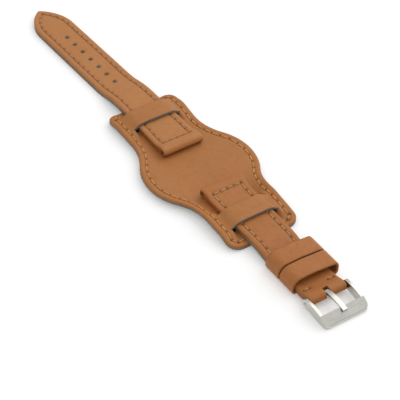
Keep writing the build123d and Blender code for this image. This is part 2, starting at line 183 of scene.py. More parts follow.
bar_fold_x = bar_x + bar_bore + skin
slot_x = bar_x - slot_setback
tail_bridge = (tail_bridge_setback - pad_end, tail_bridge_setback - pad_end + bridge_width)
buckle_bridge = (pad_end - buckle_bridge_setback - bridge_width, pad_end - buckle_bridge_setback)

# Finish of the surfaces
ring_depth = 4.0
edge_run = 0.85
edge_drop = 0.7
lining_edge_run = 0.35
lining_edge_drop = 0.3
stitch_pull = 0.16
stitch_pull_reach = 0.75
needle_depth = 0.5
needle_reach = 0.53
lining_groove = 0.2
groove_reach = 0.5
ripple_height = 0.05
pad_pillow = 0.1
pad_pillow_inset = 1.6
pad_pillow_reach = 0.9
strap_pillow = 0.09
strap_pillow_inset = 1.5
strap_pillow_reach = 0.8
strap_crown = 0.12
strap_crown_reach = 6.0
underside_roll = 0.35
hole_sink = 0.22
hole_sink_reach = 0.28
# Painted shade in the needle holes
needle_shade = 0.9
# Painted shade under the lug fold
fold_shade = 2.4

# Meshes: distances between lines, and places of lines in from an edge or out from the middle
fine = 0.36
coarse = 1.1
line_points = 40
run_step = 0.05
pad_insets = [3.75, 3.5, 3.3, 3.15, 3.0, 2.85, 2.7, 2.5, 2.25, 1.9, 1.5, 1.1]
pad_insets += [0.8, 0.6, 0.42, 0.28, 0.16, 0.08, 0.03, 0]
lining_insets = [3.7, 3.35, 3.0, 2.65, 2.3, 1.8, 1.2, 0.6, 0.3, 0.12, 0]
fine_sides = [2.35, 3.0, 3.8, 4.5, 4.9, 5.2, 5.5, 5.75, 5.95, 6.15, 6.35, 6.6, 6.9, 7.3]
fine_sides += [7.7, 8.05, 8.3, 8.5, 8.65, 8.78, 8.88, 8.95, 9.0]
coarse_sides = [3.0, 4.5, 5.2, 5.6, 6.0, 6.4, 6.8, 7.5, 8.5, 9.0]
tip_rows = [1.2, 0.9, 0.65, 0.45, 0.3, 0.18, 0.1, 0.05, tail_end_gap]
fine_hole_rings = (0.4, 0.7, 0.88, 1.0)
coarse_hole_rings = (0.6, 1.0)


def spaced(first, last, step):
    """Even places from first up to, but without, last, about step apart."""
    count = max(1, round(abs(last - first) / step))
    return list(np.linspace(first, last, count, endpoint=False))


def through(marks, step):
    """Places through all the marks, about step apart between them."""
    places = []
    for first, last in zip(marks, marks[1:]):
        places += spaced(first, last, step)
    return places + [marks[-1]]


def both_ways(places):
    """Places that start at 0, after their mirror images."""
    return [-place for place in reversed(places[1:])] + places


def grid_faces(rows, columns, left_out=()):
    """Quads of a grid whose points run row by row, without the (row, column) pairs left out."""
    faces = []
    for i in range(rows - 1):
        for j in range(columns - 1):
            if (i, j) not in left_out:
                corner = i * columns + j
                faces.append((corner, corner + 1, corner + columns + 1, corner + columns))
    return faces


def rim_of(faces):
    """Edges that only one face uses, against that face's direction."""
    used = {edge for face in faces for edge in zip(face, face[1:] + face[:1])}
    return [(b, a) for a, b in sorted(used) if (b, a) not in used]


def eased(share):
    """A smooth change from 0 to 1."""
    share = np.clip(share, 0, 1)
    return share * share * (3 - 2 * share)


def falloff(distance, reach):
    """1 at no distance, and close to 0 past about twice the reach."""
    return np.exp(-((distance / reach) ** 2))


def swayed(points):
    """The tail's points, with its two ends lying a little to either side."""
    points = np.array(points, float)
    share = np.maximum((-points[:, 0] - sway_start) / (tail_tip - sway_start), 0)
    points[:, 1] -= tail_sway * share**2 / (share + sway_ease)
    points[:, 1] += lug_shift * eased((points[:, 0] + lug_shift_end) / lug_shift_run)
    return points


def placed(name, data):
    """An object in the scene with this mesh, camera or light."""
    thing = bpy.data.objects.new(name, data)
    bpy.context.scene.collection.objects.link(thing)
    return thing


def make_piece(name, points, faces, body, replaced, materials, painted=None, shade=None):
    """A mesh object from points in millimetres, riding on a body in place of CAD nodes."""
    if body == "tail":
        points = swayed(points)
    mesh = bpy.data.meshes.new(name)
    mesh.from_pydata([tuple(point) for point in np.asarray(points) * MM], [], faces)
    for material in materials:
        mesh.materials.append(material)
    if painted is not None:
        mesh.polygons.foreach_set("material_index", painted)
    layer = mesh.attributes.new("shade", "FLOAT", "POINT")
    layer.data.foreach_set("value", np.zeros(len(points)) if shade is None else shade)
    work = bmesh.new()
    work.from_mesh(mesh)
    loose = [vertex for vertex in work.verts if not vertex.link_faces]
    bmesh.ops.delete(work, geom=loose, context="VERTS")
    bmesh.ops.recalc_face_normals(work, faces=work.faces)
    for face in work.faces:
        face.smooth = True
    work.to_mesh(mesh)
    work.free()
    piece = placed(name, mesh)
    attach(piece, body)
    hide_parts(*replaced)
    return piece


def shell(name, upper, lower, faces, body, node, materials, rim_index=None, shade=None):
    """A closed sheet between two sets of points: faces on both, and a rim round every open edge."""
    count = len(upper)
    under = [tuple(i + count for i in reversed(face)) for face in faces]
    edges = rim_of(faces)
    rim = [(a, b, b + count, a + count) for a, b in edges]
    rims = [rim_index((upper[a] + upper[b]) / 2) if rim_index else 0 for a, b in edges]
    painted = [0] * len(faces) + [len(materials) - 1] * len(under) + rims
    if shade is not None:
        shade = np.concatenate([shade, np.zeros(count)])
    points = np.concatenate([upper, lower])
    piece = make_piece(
        name, points, faces + under + rim, body, [node], materials, painted, shade
    )
    piece.data.set_sharp_from_angle(angle=radians(50))


def ripple(x, y):
    """Slow unevenness of hand-made leather, at most about 1."""
    return (
        0.5 * np.sin(x / 8.7 + 0.6) * np.cos(y / 6.1 - 0.4)
        + 0.3 * np.sin(x / 4.1 - y / 5.3)
        + 0.2 * np.cos(x / 2.9 + y / 3.7 + 1.0)
    )


def seam_groove(depth, inset):
    """Depth of the groove in a lining along its stitch row."""
    return lining_groove * falloff(depth - inset, groove_reach)


def edge_round(depth, run=edge_run, drop=edge_drop):
    """Drop of a layer at some depth in from its edge, where it rolls over."""
    near = np.clip(1 - depth / run, 0, 1)
    return drop * (1 - np.sqrt(1 - near**2))


def stitch_dents(x, y, stitches):
    """Depth of the leather's dents at stitches, and how much painted shade darkens its needle
    holes.
    """
    pull = np.zeros_like(x)
    dark = np.zeros_like(x)
    for place_x, place_y, heading, length in stitches:
        along = (x - place_x) * cos(heading) + (y - place_y) * sin(heading)
        across = (y - place_y) * cos(heading) - (x - place_x) * sin(heading)
        beyond = np.maximum(np.abs(along) - length / 2, 0)
        groove = np.exp(-(beyond**2 + across**2) / stitch_pull_reach**2)
        joint = length / stitch_share / 2
        hole = np.exp(-((np.abs(along) - joint) ** 2 + across**2) / needle_reach**2)
        pull = np.maximum(pull, stitch_pull * groove + needle_depth * hole)
        dark = np.maximum(dark, hole)
    return pull, dark


# Stitch rows: each edge of a row is a straight line or an arc, with a whole number of stitches
def line(start, end):
    """A straight edge: its length, and its place and heading at a share of the way along."""
    heading = atan2(end[1] - start[1], end[0] - start[0])

    def at(share):
        x = start[0] + (end[0] - start[0]) * share
        y = start[1] + (end[1] - start[1]) * share
        return x, y, heading

    return hypot(end[0] - start[0], end[1] - start[1]), at


def arc(centre, radius, first, last):
    """A round edge about a centre, between two angles in radians."""

    def at(share):
        angle = first + (last - first) * share
        heading = angle + copysign(pi / 2, last - first)
        return centre[0] + radius * cos(angle), centre[1] + radius * sin(angle), heading

    return abs(last - first) * radius, at


def stitches_on(edges):
    """(x, y, heading, length) of the stitches on the edges."""
    stitches = []
    for length, at in edges:
        count = round(length / stitch_pitch)
        for index in range(count):
            x, y, heading = at((index + 0.5) / count)
            stitches.append((x, y, heading, stitch_share * length / count))
    return stitches


def mirrored(stitches, in_x=False):
    """The stitches and their mirror images across y = 0, or across x = 0."""
    if in_x:
        return stitches + [(-x, y, pi - heading, length) for x, y, heading, length in stitches]
    return stitches + [(x, -y, -heading, length) for x, y, heading, length in stitches]


def bead(place, height, upright, points, faces):
    """One twisted stitch along its heading, whose ends sink into their needle holes."""
    rings, sides = thread_rings, thread_sides
    x, y, heading, length = place
    start = len(points)
    for ring in range(rings + 1):
        share = 2 * ring / rings - 1
        along = share * (length / 2 + thread_overrun)
        sunk = max(0, abs(share) - thread_sink_start) / (1 - thread_sink_start)
        lift = thread_dome * (1 - abs(share) ** 3) - thread_sink * sunk
        taper = 1 - 0.35 * abs(share) ** 4
        for side in range(sides):
            angle = 2 * pi * side / sides
            lobe = 0.78 + 0.22 * abs(cos(angle - thread_twist * along))
            reach = thread_width / 2 * taper * lobe * cos(angle)
            rise = lift + 0.8 * thread_width / 2 * taper * lobe * sin(angle)
            px = x + along * cos(heading) - reach * sin(heading)
            py = y + along * sin(heading) + reach * cos(heading)
            pz = height(px, py)
            points.append((px, py, pz + upright * (rise if upright > 0 else rise - thread_dome)))
    for ring in range(rings):
        for side in range(sides):
            a = start + ring * sides + side
            b = start + ring * sides + (side + 1) % sides
            faces.append((a, b, b + sides, a + sides))
    for end in (start, start + rings * sides):
        faces.append(tuple(range(end, end + sides)))


def make_thread(name, stitches, upper, lower, body, node, material):
    """The stitches of one seam, on the top and on the underside."""
    points, faces = [], []
    for place in stitches:
        bead(place, upper, 1, points, faces)
        bead(place, lower, -1, points, faces)
    points = [(x, y, max(z, thread_floor)) for x, y, z in points]
    make_piece(name, points, faces, body, [node], [material])


# Materials
def feed(node, inputs):
    """Sets inputs of a node, each to a value or to another node's output."""
    for key, value in inputs.items():
        socket = node.inputs[key]
        if isinstance(value, bpy.types.NodeSocket):
            node.id_data.links.new(value, socket)
        else:
            socket.default_value = (*value, 1) if socket.type == "RGBA" else value


def adder(tree):
    """A function that adds a node to a tree, with its settings and its inputs."""

    def add(kind, inputs=None, **settings):
        node = tree.nodes.new(kind)
        for key, value in settings.items():
            setattr(node, key, value)
        feed(node, inputs or {})
        return node

    return add


def shader(name):
    """A node material, its shader node, and a function that adds nodes to it."""
    material = bpy.data.materials.new(name)
    material.use_nodes = True
    tree = material.node_tree
    return material, tree.nodes["Principled BSDF"], adder(tree)


def stretched(add, scale=(1, 1, 1)):
    """Object coordinates stretched by a scale."""
    where = add("ShaderNodeTexCoord").outputs["Object"]
    return add("ShaderNodeMapping", {"Vector": where, "Scale": scale}).outputs["Vector"]


def noise(add, where, scale, detail=2.0):
    """Cloudy noise of some scale and detail."""
    inputs = {"Vector": where, "Scale": scale, "Detail": detail}
    return add("ShaderNodeTexNoise", inputs).outputs["Fac"]


def blend(add, factor, first, second):
    """A mix of two colours, each a colour or a node's output."""
    return add("ShaderNodeMix", {0: factor, 6: first, 7: second}, data_type="RGBA").outputs[2]


def ramp(add, source, low, high, low_to=0.0, high_to=1.0):
    """A node output mapped from one range to another, and clamped."""
    inputs = {"Value": source, "From Min": low, "From Max": high}
    inputs.update({"To Min": low_to, "To Max": high_to})
    return add("ShaderNodeMapRange", inputs).outputs["Result"]


def relief(add, height, strength, distance):
    """The normal of a bumpy surface."""
    inputs = {"Height": height, "Strength": strength, "Distance": distance}
    return add("ShaderNodeBump", inputs).outputs["Normal"]


def maths(add, operation, *values):
    """The result of a sum on values and node outputs."""
    return add("ShaderNodeMath", dict(enumerate(values)), operation=operation).outputs[0]


def leather(name, colour, pale, deep, shade_tone, grain=1500.0, rough=0.5, bump=0.00006):
    """Leather with pebbled grain, slow changes of tone, and shade at its edges and needle holes."""
    material, principled, add = shader(name)
    where = stretched(add)
    mottle = noise(add, where, 420.0, 4.0)
    shade = add("ShaderNodeAttribute", attribute_name="shade").outputs["Fac"]
    tone = blend(add, ramp(add, noise(add, where, 55.0, 3.0), 0.35, 0.65), colour, pale)
    tone = blend(add, ramp(add, mottle, 0.45, 0.75, 0.0, 0.45), tone, deep)
    pebble = add("ShaderNodeTexVoronoi", {"Vector": where, "Scale": grain}, feature="SMOOTH_F1")
    pores = noise(add, where, grain * 2.2)
    height = maths(add, "MULTIPLY_ADD", pores, 0.35, pebble.outputs["Distance"])
    # The shade attribute mixes in the dark tone: painted shade, and darker edges
    feed(principled, {
        "Base Color": blend(add, shade, tone, shade_tone),
        "Roughness": ramp(add, mottle, 0.3, 0.7, rough - 0.07, rough + 0.09),
        "Normal": relief(add, height, 0.55, bump),
        "Specular IOR Level": 0.32,
    })
    return material


def thread(name, colour, deep):
    """Waxed thread with fine fibres and a little change of tone from stitch to stitch."""
    material, principled, add = shader(name)
    where = stretched(add)
    feed(principled, {
        "Base Color": blend(add, ramp(add, noise(add, where, 240.0), 0.3, 0.7), colour, deep),
        "Roughness": 0.62,
        "Sheen Weight": 0.15,
        "Normal": relief(add, noise(add, where, 5200.0, 3.0), 0.5, 0.00004),
    })
    return material


def steel(name, colour, rough, scale):
    """Steel with a brushed grain drawn out along one direction."""
    material, principled, add = shader(name)
    brushed = noise(add, stretched(add, scale), 1.0, 5.0)
    slow = noise(add, stretched(add), 300.0)
    dim = tuple(0.92 * c for c in colour)
    feed(principled, {
        "Base Color": blend(add, ramp(add, brushed, 0.35, 0.65), colour, dim),
        "Roughness": ramp(add, slow, 0.3, 0.7, rough - 0.05, rough + 0.07),
        "Metallic": 1.0,
        "Normal": relief(add, brushed, 0.1, 0.00001),
    })
    return material


# Each leather's colour, pale and deep tones, and dark tone for painted shade and darker edges
tan_leather = leather(
    "tan_leather", (0.44, 0.168, 0.045), (0.47, 0.183, 0.051), (0.385, 0.14, 0.035),
    (0.06, 0.02, 0.007),
)
# A paler copy of the tan leather for the tail: painted light, for the brighter light that falls on
# it
lit_tail_leather = leather(
    "lit_tail_leather", (0.49, 0.198, 0.061), (0.52, 0.213, 0.068), (0.44, 0.17, 0.05),
    (0.09, 0.034, 0.012),
)
buckle_leather = leather(
    "buckle_leather", (0.435, 0.157, 0.039), (0.465, 0.172, 0.045), (0.38, 0.13, 0.03),
    (0.06, 0.02, 0.007),
)
tan_edge = leather(
    "tan_edge", (0.36, 0.132, 0.038), (0.4, 0.148, 0.045), (0.28, 0.096, 0.026),
    (0.1, 0.035, 0.012), grain=2600.0, bump=0.00003,
)
dark_lining = leather(
    "dark_lining", (0.17, 0.178, 0.15), (0.2, 0.21, 0.18), (0.13, 0.137, 0.115),
    (0.02, 0.02, 0.02), grain=1900.0, rough=0.7,
)
cut_edge = leather(
    "cut_edge", (0.17, 0.195, 0.195), (0.22, 0.25, 0.245), (0.1, 0.118, 0.118),
    (0.02, 0.02, 0.02), grain=3200.0, rough=0.75,
)
hole_edge = leather(
    "hole_edge", (0.4, 0.4, 0.33), (0.45, 0.45, 0.38), (0.33, 0.32, 0.26),
    (0.12, 0.11, 0.09), grain=3200.0, rough=0.75,
)
gold_thread = thread("gold_thread", (0.78, 0.39, 0.11), (0.62, 0.28, 0.07))
beige_thread = thread("beige_thread", (0.6, 0.36, 0.17), (0.46, 0.25, 0.11))
tail_thread = thread("tail_thread", (0.52, 0.26, 0.1), (0.42, 0.19, 0.065))
brushed_steel = steel("brushed_steel", (0.62, 0.61, 0.555), 0.24, (4200, 90, 4200))
plain_steel = steel("plain_steel", (0.55, 0.55, 0.55), 0.35, (300, 2400, 300))


# Pad: a border of columns along offset curves, round a grid that the bridges are cut from
def pad_side(x, inset):
    """Half-width of the pad's outline at x, drawn in by inset, and the outward direction there."""
    far = abs(x)
    side = copysign(1, x)
    disc = disc_radius - inset
    touch = waist_x * disc / (disc_radius + waist_radius)
    corner_x = pad_end - ear_corner_radius
    if far <= touch:
        y = sqrt(disc**2 - x**2)
        return y, (x / disc, y / disc)
    if far < waist_x:
        waist = waist_radius + inset
        rise = sqrt(waist**2 - (waist_x - far) ** 2)
        return ear_half + waist_radius - rise, (side * (waist_x - far) / waist, rise / waist)
    if far <= corner_x:
        return ear_half - inset, (0, 1)
    corner = ear_corner_radius - inset
    lean = min(1, (far - corner_x) / corner)
    rise = sqrt(1 - lean**2)
    return ear_half - ear_corner_radius + corner * rise, (side * lean, rise)


def pad_stitch_places():
    """The stitches of the pad's one row, drawn in from its outline."""
    disc = disc_radius - pad_stitch_inset
    waist = waist_radius + pad_stitch_inset
    corner = ear_corner_radius - pad_stitch_inset
    row_end = pad_end - pad_stitch_inset
    row_half = ear_half - pad_stitch_inset
    corner_x = pad_end - ear_corner_radius
    corner_y = ear_half - ear_corner_radius
    waist_y = ear_half + waist_radius
    touch = atan2(waist_y, waist_x)
    quarter = [
        line((row_end, 0), (row_end, corner_y)),
        arc((corner_x, corner_y), corner, 0, pi / 2),
        line((corner_x, row_half), (waist_x, row_half)),
        arc((waist_x, waist_y), waist, -pi / 2, touch - pi),
        arc((0, 0), disc, touch, pi / 2),
    ]
    return mirrored(mirrored(stitches_on(quarter), in_x=True))


def arch(y):
    """Rise of a bridge's upper face over the flat pad, across the strap."""
    return arch_rise / (1 + (np.abs(y) / arch_half) ** arch_power)


def rim_lift(x, y):
    """Rise of the pad's margins and of the ears' corners, which curl up off the floor."""
    x, y = np.broadcast_arrays(x, y)
    end = pad_end - rim_end_margin
    edge = np.array([pad_side(min(max(v, -end), end), 0)[0] for v in x.flat])
    edge = np.maximum(edge.reshape(x.shape), ear_half)
    across = eased((np.abs(y) - margin_start) / (edge - margin_start))
    swell = falloff(x - rim_swell_x, rim_swell_reach)
    near = near_rim_rise + near_rim_swell * swell
    far = far_rim_rise + far_rim_swell * swell
    far = far + tail_rim_swell * falloff(x - tail_rim_x, tail_rim_reach)
    fade = 1 - eased((np.abs(x) - rim_fade_start) / (pad_end - rim_fade_start))
    curl = ear_curl * eased((np.abs(x) - curl_start) / (pad_end - curl_start))
    return across * (np.where(y < 0, near, far) * fade + curl)


def pad_lift(x, y):
    """Rise of the pad's layers off the floor, at the margins beside the bridges and the ears."""
    inward = eased((np.abs(y) - margin_start) / margin_width)
    beside = np.zeros_like(x)
    for low, high in (tail_bridge, buckle_bridge):
        away = np.maximum(np.maximum(low - x, x - high), 0)
        beside = np.maximum(beside, 1 - eased(away / margin_fade))
    return arch(y) * inward * beside + rim_lift(x, y)


def bridge_points(x, y):
    """Height of a bridge's upper face, and the direction out of it in y and in z."""
    step = 0.01
    rise = arch(y) + rim_lift(x, y)
    slope = (arch(y + step) + rim_lift(x, y + step) - rise) / step
    return pad_height + rise, -slope / np.hypot(slope, 1), 1 / np.hypot(slope, 1)


def pad_grid(step, insets, bridges):
    """Plan x and y, depth from the outline, faces and bridge patches of one layer of the pad."""
    corner = ear_corner_radius - ring_depth
    corner_x = pad_end - ear_corner_radius
    corner_places = [corner_x + corner * sin(pi / 2 * k / 12) for k in range(1, 13)]
    marks = [-corner_x, *(x for pair in bridges for x in pair), corner_x]
    x_lines = [-x for x in reversed(corner_places)] + through(marks, step) + corner_places
    fixed = both_ways(through([0, 9.5, bridge_foot], 0.65))
    outer = 8
    rows = len(x_lines)
    columns = len(fixed) + 2 * outer
    plan = []
    for x in x_lines:
        half = pad_side(x, ring_depth)[0]
        squeeze = min(1, half / (ear_half - ring_depth))
        edge = bridge_foot * squeeze
        beyond = [edge + (half - edge) * (k / outer) for k in range(1, outer + 1)]
        row = [-y for y in reversed(beyond)] + [y * squeeze for y in fixed] + beyond
        plan += [(x, y) for y in row]
    depth = [ring_depth + 1] * len(plan)
    left_out = {
        (i, j)
        for low, high in bridges
        for i in range(rows - 1)
        if low - tiny < x_lines[i] and x_lines[i + 1] < high + tiny
        for j in range(outer, columns - 1 - outer)
    }
    faces = grid_faces(rows, columns, left_out)
    around = [(i * columns + columns - 1, x_lines[i], 1) for i in range(rows)]
    around += [((rows - 1) * columns + j, None, 1) for j in range(columns - 2, 0, -1)]
    around += [(i * columns, x_lines[i], -1) for i in range(rows - 1, -1, -1)]
    around += [(j, None, -1) for j in range(1, columns - 1)]
    rings = []
    for index, x, side in around:
        out = (side, 0)
        if x is not None:
            out = pad_side(x, ring_depth)[1]
            out = (out[0], side * out[1])
        ring = [index]
        for inset in insets:
            ring.append(len(plan))
            reach = ring_depth - inset
            plan.append((plan[index][0] + out[0] * reach, plan[index][1] + out[1] * reach))
            depth.append(inset)
        rings.append(ring)
    for first, second in zip(rings, rings[1:] + rings[:1]):
        for k in range(len(first) - 1):
            faces.append((second[k], first[k], first[k + 1], second[k + 1]))
    patches = []
    for low, high in bridges:
        lines = [i for i in range(rows) if low - tiny < x_lines[i] < high + tiny]
        feet = [(i * columns + columns - 1 - outer, i * columns + outer) for i in lines]
        patches.append(([x_lines[i] for i in lines], feet))
    return *np.array(plan).T, np.array(depth), faces, patches


def make_pad_facing(stitches):
    """The pad's top leather, with both bridges raised from it."""
    x, y, depth, faces, patches = pad_grid(0.5, pad_insets, (tail_bridge, buckle_bridge))
    pull, dark = stitch_dents(x, y, stitches)
    roll = edge_round(depth)
    pillow = pad_pillow * falloff(depth - pad_pillow_inset, pad_pillow_reach)
    lift = pad_lift(x, y)
    z = pad_height + ripple_height * ripple(x, y) - roll - pull + pillow + lift
    upper = np.column_stack([x, y, z])
    lower = np.column_stack([x, y, pad_lining_thickness + 0.01 + lift])
    # Painted shade at the needle holes, and darker rolled edges
    shade = np.clip(needle_shade * dark + 0.22 * roll / edge_drop, 0, 1)
    across = np.linspace(bridge_foot, -bridge_foot, bridge_columns)[1:-1]
    for lines, feet in patches:
        base, count = len(upper), len(across)
        x, y = (part.ravel() for part in np.meshgrid(lines, across, indexing="ij"))
        near = np.minimum(x - lines[0], lines[-1] - x)
        edge = np.maximum(0, 1 - near / bridge_roll_reach)
        swell = ripple_height * ripple(x * 1.6, y * 1.3) - bridge_roll * edge**2
        z, out_y, out_z = bridge_points(x, y)
        raised = np.column_stack([x, y + out_y * swell, z + out_z * swell])
        inner = np.column_stack([x, y - out_y * bridge_skin, z - out_z * bridge_skin])
        upper = np.concatenate([upper, raised])
        lower = np.concatenate([lower, inner])
        shade = np.concatenate([shade, 0.2 * edge])
        corners = [
            [left, *range(base + row * count, base + (row + 1) * count), right]
            for row, (left, right) in enumerate(feet)
        ]
        for here, there in zip(corners, corners[1:]):
            faces += [(here[k + 1], here[k], there[k], there[k + 1]) for k in range(count + 1)]

    def rim(middle):
        """Material index of a rim: 2 in the bridges' slits, 1 along the outline."""
        inside_ears = abs(middle[1]) < bridge_foot + 0.5 and abs(middle[0]) < pad_end - 1
        return 2 if inside_ears else 1

    shell(
        "pad_facing", upper, lower, faces, "pad", "pad_top",
        [tan_leather, tan_edge, cut_edge], rim, shade,
    )


def make_pad_backing():
    """The pad's dark lining, with a groove along its stitches."""
    x, y, depth, faces, _ = pad_grid(1.2, lining_insets, ())
    lift = pad_lift(x, y)
    under = edge_round(depth, lining_edge_run, lining_edge_drop)
    under = under + seam_groove(depth, pad_stitch_inset)
    upper = np.column_stack([x, y, pad_lining_thickness + lift])
    lower = np.column_stack([x, y, under + lift])
    shell("pad_backing", upper, lower, faces, "pad", "pad_lining", [dark_lining])


def pad_at(rise):
    """Height of a level of the pad at a place, with its lift off the floor."""
    return lambda x, y: rise + float(pad_lift(x, y))


pad_stitches = pad_stitch_places()
make_pad_facing(pad_stitches)
make_pad_backing()
make_thread(
    "pad_stitching", pad_stitches, pad_at(pad_height - stitch_pull + 0.04), pad_at(0.2),
    "pad", "pad_thread", gold_thread,
)


# Strap pieces: layers that follow one path in x and z, between their outlines in y
class Tail:
    """The holed piece, whose path runs towards -x."""
    out = -1
    body = "tail"
    leather = lit_tail_leather
    thread = tail_thread
    channel = tail_channel
    floor = 0.0
    lining_gap = 0.004
    run = tail_fall
    end = tail_tip - tail_end_gap
    lug_end = tail_lug_end
    row_end = (tip_start, tail_half - strap_stitch_inset)
    last_stitch = tail_tip


class Buckle:
    """The buckle piece, whose path runs towards +x."""
    out = 1
    body = "buckle_strap"
    leather = buckle_leather
    thread = beige_thread
    channel = buckle_channel
    floor = keeper_floor
    lining_gap = 0.0
    run = buckle_fall
    end = bar_x
    lug_end = buckle_lug_end
    row_end = (bar_fold_x - strap_stitch_inset, buckle_half - strap_stitch_inset)
    last_stitch = buckle_lug_end + side_rows_end


def fall(x, start, drop, run, rise):
    """Height at x > 0 of two equal arcs that fall by drop from start over run, at a rise."""
    radius = (run**2 + drop**2) / (4 * drop)
    along = np.clip(x - start, 0, run)
    middle = (radius + rise) * sin(2 * atan2(drop, run))
    over = np.sqrt(np.maximum((radius + rise) ** 2 - along**2, 0)) - radius
    under = radius - drop - np.sqrt(np.maximum((radius - rise) ** 2 - (run - along) ** 2, 0))
    return np.where(along < middle, over, under)


def run_height(strap, x, rise):
    """Height of a layer of the plain strap at distance x from the origin, above its underside."""
    return strap_floor + fall(x, slope_start, strap_floor - strap.floor, strap.run, rise)


def crown_height(x, start, floor, bore, run, rise):
    """Height of the facing from the top of a fold, over a bore, down to the plain strap."""
    drop = 2 * (skin + bore) - strap_thickness
    return floor + skin + 2 * bore + fall(x, start, drop, run, rise)


def facing_height(strap, x, rise):
    """Height of the facing at distance x, rise above its inner face."""
    crown = crown_height(x, strap.channel, strap_floor, lug_channel_radius, lug_fall, rise)
    plain = run_height(strap, x, filler_top + rise)
    height = np.where(x < strap.channel + lug_fall, crown, plain)
    if strap is Buckle:
        crown = crown_height(2 * bar_x - x, bar_x, keeper_floor, bar_bore, bar_fall, rise)
        height = np.where(x > bar_x - bar_fall, crown, height)
    return height


def half_width(strap, x):
    """Half of the strap's width at distance x from the origin."""
    x = np.asarray(x, float)
    if strap is Buckle:
        return np.interp(
            x, [buckle_lug_end, pad_end, bar_fold_x], [lug_half, strap_half, buckle_half]
        )
    plain = np.interp(x, [tail_lug_end, pad_end, tip_start], [lug_half, strap_half, tail_half])
    shoulder = np.sqrt(np.maximum(shoulder_radius**2 - (x - tip_start) ** 2, 0))
    shoulder = tail_half - shoulder_radius + shoulder
    tip = np.sqrt(np.maximum(tail_tip_radius**2 - (x - point_x) ** 2, tiny))
    return np.where(x < tip_start, plain, np.where(x < shoulder_end, shoulder, tip))


def edge_depth(strap, x, y):
    """Distance in from the outline's long sides, and from the tail's point."""
    depth = half_width(strap, x) - np.abs(y)
    if strap is Buckle:
        return depth
    centre_y = tail_half - shoulder_radius
    shoulder = shoulder_radius - np.hypot(x - tip_start, np.abs(y) - centre_y)
    tip = tail_tip_radius - np.hypot(x - point_x, y)
    lean = atan2(-centre_y, tip_reach)
    pointed = (x > point_x) & (np.abs(y) < tan(lean) * (x - point_x))
    return np.where(x < tip_start, depth, np.where(pointed, tip, shoulder))


def fold_line(centre_x, centre_z, radius, towards):
    """Points round a channel, from under it to over it."""
    angles = pi * (np.arange(1, line_points) / line_points - 0.5)
    return np.column_stack(
        [centre_x + towards * radius * np.cos(angles), centre_z + radius * np.sin(angles)]
    )


def flap_line(first, last, height):
    """Points along a flap that is turned under."""
    return np.column_stack([np.linspace(first, last, line_points), np.full(line_points, height)])


def facing_line(strap, places, rise):
    """The facing's line in (distance, height) from its lug flap on, rise above its inner face."""
    channel = strap.channel
    lug_z = strap_floor + skin + lug_channel_radius
    parts = [
        flap_line(channel + lug_flap, channel, strap_floor + skin - rise),
        fold_line(channel, lug_z, lug_channel_radius + rise, -1),
        np.column_stack([places, facing_height(strap, places, rise)]),
    ]
    if strap is Buckle:
        parts.append(fold_line(bar_x, bar_z, bar_bore + rise, 1)[::-1])
        parts.append(flap_line(bar_x, bar_x - bar_flap, keeper_floor + skin - rise))
    return np.concatenate(parts)


def facing_table(strap):
    """The facing's inner and outer line, and its parameter: on the run, the distance itself."""
    places = np.append(np.arange(strap.channel, strap.end, run_step), strap.end)
    inner = facing_line(strap, places, 0)
    outer = facing_line(strap, places, skin)
    steps = np.hypot(*np.diff((inner + outer) / 2, axis=0).T)
    along = np.concatenate([[0], np.cumsum(steps)])
    first = 2 * line_points - 1
    last = first + len(places)
    parameter = along - along[first] + strap.channel
    parameter[first:last] = places
    parameter[last:] = strap.end + along[last:] - along[last - 1]
    return parameter, inner, outer


def hole_marks():
    """Distance of each hole in the tail from the origin, nearest first."""
    last = tail_tip - last_hole_setback
    return [last - hole_pitch * index for index in reversed(range(hole_count))]


def layer_grid(rows, shares, strap, cells=0, slot_span=None):
    """Parameter, share and hole points of a strap layer, and its faces."""
    columns = len(shares)
    middle = columns // 2
    along = np.repeat(rows, columns)
    share = np.tile(shares, len(rows))

    def gap(lines, reach):
        return {(i, j) for i in lines for j in range(middle - reach, middle + reach)}

    left_out, blocks = set(), []
    if cells:
        for mark in hole_marks():
            first = min(range(len(rows)), key=lambda i: abs(rows[i] - mark + hole_block))
            blocks.append((mark, first, first + 2 * cells))
            left_out |= gap(range(first, first + 2 * cells), cells)
    if slot_span:
        low, high, reach = slot_span
        pairs = enumerate(zip(rows, rows[1:]))
        left_out |= gap([i for i, (a, b) in pairs if low - tiny < a and b < high + tiny], reach)
    faces = grid_faces(len(rows), columns, left_out)
    extra_along, extra_y = [], []
    left, right = middle - cells, middle + cells
    for mark, first, last in blocks:
        loop = [first * columns + j for j in range(left, right)]
        loop += [i * columns + right for i in range(first, last)]
        loop += [last * columns + j for j in range(right, left, -1)]
        loop += [i * columns + left for i in range(last, first, -1)]
        previous = loop
        for ring_share in fine_hole_rings if cells > 2 else coarse_hole_rings:
            ring = []
            for index in loop:
                here_x = along[index]
                here_y = share[index] * float(half_width(strap, here_x))
                angle = atan2(here_y, here_x - mark)
                round_x = mark + hole_radius * cos(angle)
                round_y = hole_radius * sin(angle)
                ring.append(len(along) + len(extra_y))
                extra_along.append(here_x + (round_x - here_x) * ring_share)
                extra_y.append(here_y + (round_y - here_y) * ring_share)
            for k in range(len(loop)):
                n = (k + 1) % len(loop)
                faces.append((previous[k], previous[n], ring[n], ring[k]))
            previous = ring
    return along, share, np.array(extra_along), np.array(extra_y), faces


def tail_rows(step, cells):
    """Places along the tail's run, in step with its holes."""
    places = [tail_channel]
    for mark in hole_marks():
        places += through([places.pop(), mark - hole_block], step)[:-1]
        places += list(np.linspace(mark - hole_block, mark + hole_block, 2 * cells + 1))
    places += through([places.pop(), tip_start, tail_tip - tip_rows[0]], step)[:-1]
    return places + [tail_tip - row for row in tip_rows]


def coarse_rows(start):
    """Places along the tail for a layer under its facing, from start on."""
    return [start] + [x for x in tail_rows(coarse, 2) if x > start + 0.3]


def fold_rows(strap):
    """Places along the lug flap and round the lug fold."""
    parameter = facing_table(strap)[0]
    fold_start = parameter[line_points - 1]
    return spaced(parameter[0], fold_start, 1.0) + spaced(fold_start, strap.channel, 0.22)


